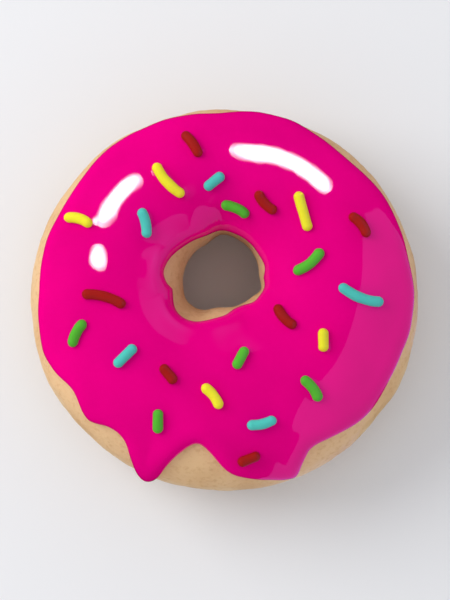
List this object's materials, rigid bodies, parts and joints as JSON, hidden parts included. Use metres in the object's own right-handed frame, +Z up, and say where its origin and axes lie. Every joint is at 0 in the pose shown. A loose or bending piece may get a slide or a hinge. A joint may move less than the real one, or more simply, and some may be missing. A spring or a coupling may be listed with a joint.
{
  "type": "ring doughnut with icing and sugar strands",
  "caption": "Ring doughnut lying flat, with a small off-centre hole, glossy pink icing that ends in lobes and a drip, and coloured sugar strands.",
  "frame": {"origin": "middle of the ring's outline, on the surface that it rests on", "axes": "+Z up through the hole, towards the icing; the long drip is at the front, -Y, a little to the left; +X to the right"},
  "size_m": [0.09, 0.0886, 0.0342],
  "materials": {
    "crust": "fried dough, golden tan and matt, with fine wrinkles and small pits",
    "icing": "thick set icing, hot pink and glossy",
    "strand_red": "sugar strand, dark red with a soft shine",
    "strand_yellow": "sugar strand, lemon yellow with a soft shine",
    "strand_teal": "sugar strand, pale teal with a soft shine",
    "strand_green": "sugar strand, leaf green with a soft shine"
  },
  "bodies": {
    "root": {"dough": "crust", "icing": "icing"}
  },
  "joints": []
}
